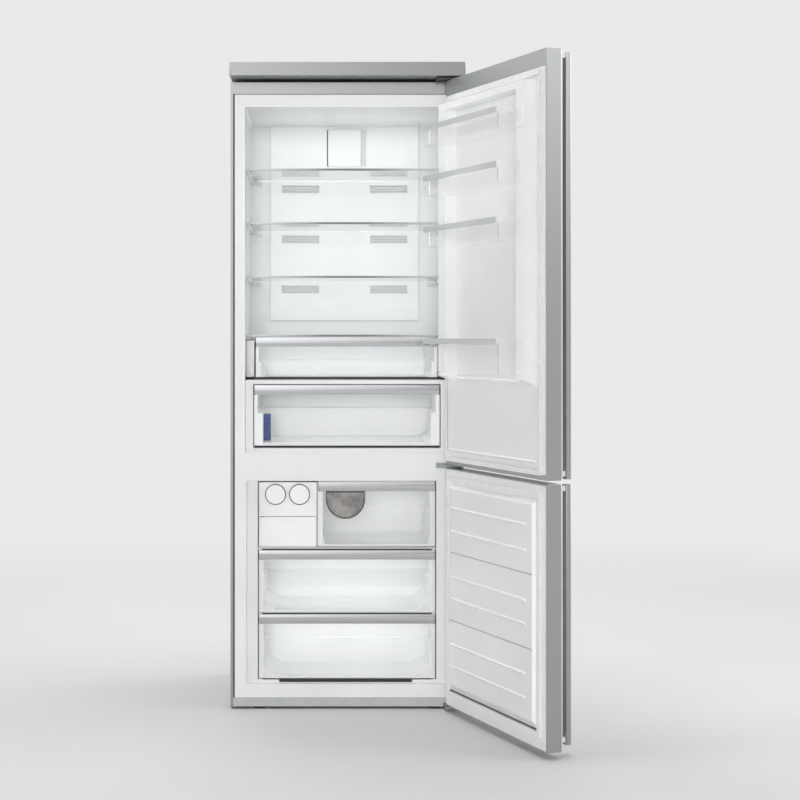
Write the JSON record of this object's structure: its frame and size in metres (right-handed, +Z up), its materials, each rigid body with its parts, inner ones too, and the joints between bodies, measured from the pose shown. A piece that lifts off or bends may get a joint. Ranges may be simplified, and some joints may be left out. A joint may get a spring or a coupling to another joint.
{
  "type": "refrigerator",
  "caption": "Free-standing fridge freezer with steel doors standing open: glass shelves, door bins and crispers above a bay of freezer drawers with a twist ice maker.",
  "frame": {"origin": "on the floor under the middle of the steel case", "axes": "+X to the right as seen from the front, +Y to the back, +Z up"},
  "size_m": [0.9474, 1.3273, 1.95],
  "materials": {
    "brushed_steel": "brushed stainless",
    "white_liner": "formed white plastic",
    "clear_plastic": "clear moulded plastic",
    "white_plastic": "moulded white plastic",
    "shelf_glass": "toughened glass",
    "trim_metal": "satin anodised",
    "gasket_rubber": "soft grey-white",
    "foam": "rigid foam",
    "dark_plastic": "moulded",
    "grey_plastic": "moulded",
    "zinc_steel": "zinc coated sheet",
    "compressor_black": "black paint",
    "coil_aluminium": "bare",
    "blue_plastic": "moulded",
    "smoked_plastic": "smoked clear",
    "fan_plastic": "moulded",
    "foot_plastic": "moulded",
    "screw_steel": "bright zinc"
  },
  "bodies": {
    "cabinet": {"outer_case": "brushed_steel", "back_panel": "zinc_steel", "base_pan": "zinc_steel", "kick_strip": "grey_plastic", "fridge_liner": "white_liner", "freezer_liner": "white_liner", "mullion": "white_liner", "cabinet_foam": "foam", "top_spacer": "dark_plastic", "top_plate": "brushed_steel", "duct_panel": "white_liner", "vent_grilles": "grey_plastic", "lamp_cover": "white_liner", "glass_shelves": "shelf_glass", "crisper_cover": "shelf_glass", "shelf_trims": "trim_metal", "chill_box": "white_liner", "freezer_shelf": "white_liner", "ice_maker_frame": "white_liner", "freezer_rear_cover": "white_liner", "fan_motor": "dark_plastic", "evaporator": "coil_aluminium", "condenser": "coil_aluminium", "compressor": "compressor_black", "machine_cover": "zinc_steel", "power_gland": "dark_plastic", "hinge_brackets": "zinc_steel", "fasteners": "screw_steel"},
    "upper_door": {"upper_door_skin": "brushed_steel", "upper_door_foam": "foam", "upper_door_liner": "white_liner", "upper_door_gasket": "gasket_rubber", "upper_door_handle": "brushed_steel", "door_bins": "clear_plastic", "bottle_bin": "clear_plastic", "door_bin_rails": "trim_metal"},
    "lower_door": {"lower_door_skin": "brushed_steel", "lower_door_foam": "foam", "lower_door_liner": "white_liner", "lower_door_gasket": "gasket_rubber", "lower_door_handle": "brushed_steel"},
    "upper_crisper_set": {"upper_crisper": "clear_plastic", "upper_crisper_rail": "trim_metal"},
    "lower_crisper_set": {"lower_crisper": "clear_plastic", "lower_crisper_rail": "trim_metal", "freshness_cartridge": "blue_plastic"},
    "top_drawer_set": {"top_drawer": "clear_plastic", "top_drawer_rail": "trim_metal", "drawer_pull": "smoked_plastic"},
    "middle_drawer_set": {"middle_drawer": "clear_plastic", "middle_drawer_rail": "trim_metal"},
    "bottom_drawer_set": {"bottom_drawer": "clear_plastic", "bottom_drawer_rail": "trim_metal"},
    "ice_bin_set": {"ice_bin": "white_plastic"},
    "ice_twist_left": {"ice_tray_left": "white_plastic"},
    "ice_twist_right": {"ice_tray_right": "white_plastic"},
    "fan_rotor": {"evaporator_fan": "fan_plastic"},
    "roller_pair": {"rear_rollers": "foot_plastic"},
    "left_levelling_foot": {"foot_left": "foot_plastic"},
    "right_levelling_foot": {"foot_right": "foot_plastic"}
  },
  "joints": [
    {"name": "upper_door_swing", "type": "hinge", "parent": "cabinet", "child": "upper_door", "pos_m": [0.332, -0.352, 1.32], "axis": [0, 0, 1], "range_deg": [-108.5, 26.5]},
    {"name": "lower_door_swing", "type": "hinge", "parent": "cabinet", "child": "lower_door", "pos_m": [0.332, -0.352, 0.375], "axis": [0, 0, 1], "range_deg": [-108.5, 26.5]},
    {"name": "upper_crisper_slide", "type": "slide", "parent": "cabinet", "child": "upper_crisper_set", "axis": [0, -1, 0], "range_m": [0, 0.18]},
    {"name": "lower_crisper_slide", "type": "slide", "parent": "cabinet", "child": "lower_crisper_set", "axis": [0, -1, 0], "range_m": [0, 0.33]},
    {"name": "top_drawer_slide", "type": "slide", "parent": "cabinet", "child": "top_drawer_set", "axis": [0, -1, 0], "range_m": [0, 0.3]},
    {"name": "middle_drawer_slide", "type": "slide", "parent": "cabinet", "child": "middle_drawer_set", "axis": [0, -1, 0], "range_m": [0, 0.33]},
    {"name": "bottom_drawer_slide", "type": "slide", "parent": "cabinet", "child": "bottom_drawer_set", "axis": [0, -1, 0], "range_m": [0, 0.2]},
    {"name": "ice_bin_slide", "type": "slide", "parent": "cabinet", "child": "ice_bin_set", "axis": [0, -1, 0], "range_m": [0, 0.24]},
    {"name": "left_ice_twist", "type": "hinge", "parent": "cabinet", "child": "ice_twist_left", "pos_m": [-0.21725, -0.28, 0.647], "axis": [0, 1, 0], "range_deg": [0, 120], "stiffness_Nm_per_rad": 0.3},
    {"name": "right_ice_twist", "type": "hinge", "parent": "cabinet", "child": "ice_twist_right", "pos_m": [-0.14425, -0.28, 0.647], "axis": [0, 1, 0], "range_deg": [0, 120], "stiffness_Nm_per_rad": 0.3},
    {"name": "fan_spin", "type": "hinge", "parent": "cabinet", "child": "fan_rotor", "pos_m": [0, 0.179, 0.615], "axis": [0, 1, 0], "continuous": true},
    {"name": "roller_roll", "type": "hinge", "parent": "cabinet", "child": "roller_pair", "pos_m": [0, 0.27, 0.016], "axis": [1, 0, 0], "continuous": true},
    {"name": "left_foot_turn", "type": "hinge", "parent": "cabinet", "child": "left_levelling_foot", "pos_m": [-0.265, -0.285, 0.016], "axis": [0, 0, 1], "continuous": true},
    {"name": "right_foot_turn", "type": "hinge", "parent": "cabinet", "child": "right_levelling_foot", "pos_m": [0.265, -0.285, 0.016], "axis": [0, 0, 1], "continuous": true}
  ]
}
